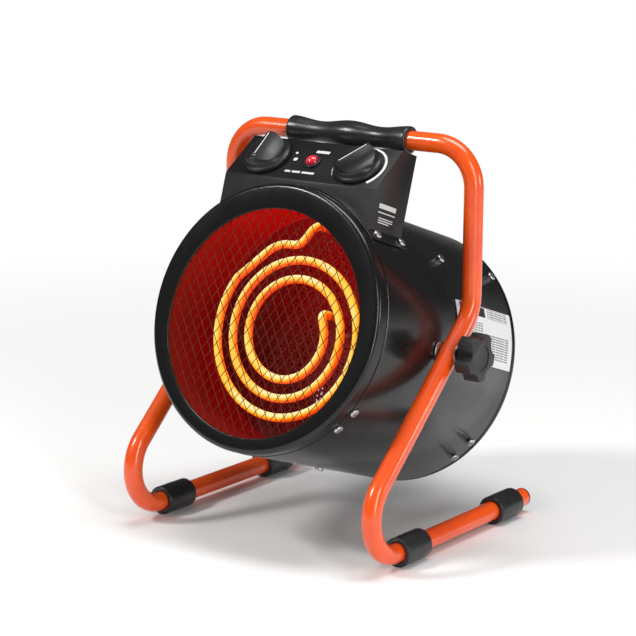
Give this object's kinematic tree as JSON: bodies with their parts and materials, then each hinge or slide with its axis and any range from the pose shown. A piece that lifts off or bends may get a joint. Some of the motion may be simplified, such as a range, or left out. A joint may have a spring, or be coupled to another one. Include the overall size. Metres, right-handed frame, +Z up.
{
  "type": "portable round fan heater",
  "caption": "Round drum fan heater with a spiral metal-sheathed element behind a mesh guard, tilting between the legs of a bent-tube stand with a carrying grip.",
  "frame": {"origin": "centre of the bounding box on the floor plane under the four foot sleeves", "axes": "+Z up, -Y the way the warm air leaves the drum, +X to the right as seen from the front of the heater"},
  "size_m": [0.3, 0.2754, 0.3347],
  "materials": {
    "orange_paint": "gloss orange powder coat on bent steel tube",
    "black_paint": "semi-gloss black enamel on sheet steel",
    "black_rubber": "satin black moulded rubber",
    "black_plastic": "satin black moulded plastic",
    "zinc_steel": "bright zinc-plated fasteners",
    "galvanised_steel": "plain galvanised sheet",
    "guard_wire": "heat-darkened steel wire",
    "hot_element": "metal-sheathed element, glowing orange",
    "bushing_ceramic": "unglazed ceramic",
    "phenolic": "dark moulded phenolic",
    "red_lens": "lit translucent red lens",
    "label_film": "pale printed film label",
    "fan_aluminium": "bare pressed aluminium"
  },
  "bodies": {
    "stand": {"stand_tube": "orange_paint", "tube_end_plug_left": "black_plastic", "tube_end_plug_right": "black_plastic", "foot_sleeve_front_left": "black_rubber", "foot_sleeve_front_right": "black_rubber", "foot_sleeve_rear_left": "black_rubber", "foot_sleeve_rear_right": "black_rubber", "handle_grip": "black_rubber"},
    "fan": {"fan_blade": "fan_aluminium", "motor_shaft": "zinc_steel"},
    "star_knob_right": {"star_knob_right": "black_plastic", "clamp_washer_right": "zinc_steel"},
    "star_knob_left": {"star_knob_left": "black_plastic", "clamp_washer_left": "zinc_steel"},
    "thermostat_knob": {"thermostat_knob": "black_plastic"},
    "switch_knob": {"switch_knob": "black_plastic"},
    "drum": {"baffle_plate": "galvanised_steel", "bracket_screw_1": "zinc_steel", "bracket_screw_2": "zinc_steel", "bracket_screw_3": "zinc_steel", "cable_gland": "black_plastic", "control_box_back": "black_paint", "control_box_cover": "black_paint", "drum_shell": "black_paint", "element_bushing_inner": "bushing_ceramic", "element_bushing_outer": "bushing_ceramic", "flange_screw_1": "zinc_steel", "flange_screw_2": "zinc_steel", "flange_screw_3": "zinc_steel", "flange_screw_4": "zinc_steel", "front_guard": "guard_wire", "front_ring": "black_paint", "grille_screw_1": "zinc_steel", "grille_screw_2": "zinc_steel", "grille_screw_3": "zinc_steel", "grille_screw_4": "zinc_steel", "grille_screw_5": "zinc_steel", "grille_screw_6": "zinc_steel", "heat_liner": "galvanised_steel", "heating_element": "hot_element", "motor_body": "phenolic", "motor_bracket": "galvanised_steel", "pilot_lamp_holder": "black_plastic", "pilot_lamp_lens": "red_lens", "pivot_nut_left": "zinc_steel", "pivot_nut_right": "zinc_steel", "pivot_spacer_left": "zinc_steel", "pivot_spacer_right": "zinc_steel", "rating_plate": "label_film", "rear_grille": "black_paint", "ring_screw_1": "zinc_steel", "ring_screw_2": "zinc_steel", "ring_screw_3": "zinc_steel", "ring_screw_4": "zinc_steel", "rotary_switch_body": "phenolic", "terminal_block": "phenolic", "thermal_cutout": "phenolic", "thermostat_body": "phenolic"}
  },
  "joints": [
    {"name": "drum_tilt", "type": "hinge", "parent": "stand", "child": "drum", "pos_m": [0, -0.0146, 0.16037], "axis": [1, 0, 0], "range_deg": [-3, 45]},
    {"name": "fan_spin", "type": "hinge", "parent": "drum", "child": "fan", "pos_m": [0, -0.00436, 0.15569], "axis": [0, -0.9486, 0.3165], "continuous": true},
    {"name": "star_knob_right_turn", "type": "hinge", "parent": "drum", "child": "star_knob_right", "pos_m": [0.14, -0.0146, 0.16037], "axis": [1, 0, 0], "range_deg": [0, 360]},
    {"name": "star_knob_left_turn", "type": "hinge", "parent": "drum", "child": "star_knob_left", "pos_m": [-0.14, -0.0146, 0.16037], "axis": [-1, 0, 0], "range_deg": [0, 360]},
    {"name": "thermostat_turn", "type": "hinge", "parent": "drum", "child": "thermostat_knob", "pos_m": [0.045, -0.03757, 0.30624], "axis": [0, 0.552, -0.8338], "range_deg": [0, 270]},
    {"name": "switch_turn", "type": "hinge", "parent": "drum", "child": "switch_knob", "pos_m": [-0.045, -0.03757, 0.30624], "axis": [0, 0.552, -0.8338], "range_deg": [0, 66]}
  ]
}
